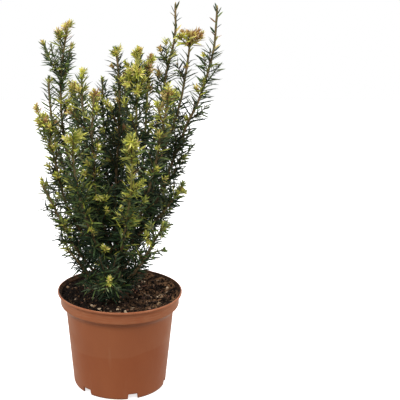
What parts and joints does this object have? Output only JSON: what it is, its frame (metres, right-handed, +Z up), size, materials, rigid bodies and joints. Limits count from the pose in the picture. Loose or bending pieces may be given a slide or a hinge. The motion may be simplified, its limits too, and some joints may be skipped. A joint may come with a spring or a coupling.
{
  "type": "potted conifer shrub",
  "caption": "Young upright English yew with many needled stems rising from a short trunk, in a round terracotta-coloured plastic nursery pot filled with potting soil.",
  "frame": {"origin": "on the ground under the middle of the pot, at the flat underside of the pot's centre disc", "axes": "+Z up, the front of the plant towards -Y, +X to the right of someone looking at the front"},
  "size_m": [0.2747, 0.2582, 0.5785],
  "materials": {
    "pot": "moulded terracotta-coloured plastic, satin",
    "soil": "damp potting soil with bark bits and pale grains",
    "bark": "thin flaky brown bark, green-brown on young shoots",
    "needles": "dark green needles with yellow-green new growth"
  },
  "bodies": {
    "root": {"pot": "pot", "potting_soil": "soil", "trunk": "bark", "bough_left_tall": "bark", "bough_left_outer": "bark", "bough_left_low": "bark", "bough_front_left": "bark", "bough_centre_left": "bark", "bough_centre_right": "bark", "bough_front_centre": "bark", "bough_right_tall": "bark", "bough_right_inner": "bark", "bough_right_golden": "bark", "bough_right_low": "bark", "bough_back_left": "bark", "bough_back_centre": "bark", "bough_back_right": "bark", "bough_back_left_low": "bark", "bough_back_right_low": "bark", "foliage_centre_tall": "needles", "foliage_left_tall": "needles", "foliage_left_outer": "needles", "foliage_left_spire": "needles", "foliage_left_low": "needles", "foliage_front_left": "needles", "foliage_mid_left": "needles", "foliage_centre_left": "needles", "foliage_centre_inner": "needles", "foliage_centre_right": "needles", "foliage_centre_golden": "needles", "foliage_front_centre": "needles", "foliage_right_tall": "needles", "foliage_right_mid": "needles", "foliage_right_inner": "needles", "foliage_right_golden": "needles", "foliage_right_side": "needles", "foliage_right_low": "needles", "foliage_back_left": "needles", "foliage_back_centre": "needles", "foliage_back_right": "needles", "foliage_back_left_low": "needles", "foliage_back_right_low": "needles", "foliage_foot_front": "needles", "foliage_foot_left": "needles", "foliage_foot_right": "needles", "foliage_foot_back": "needles"}
  },
  "joints": []
}
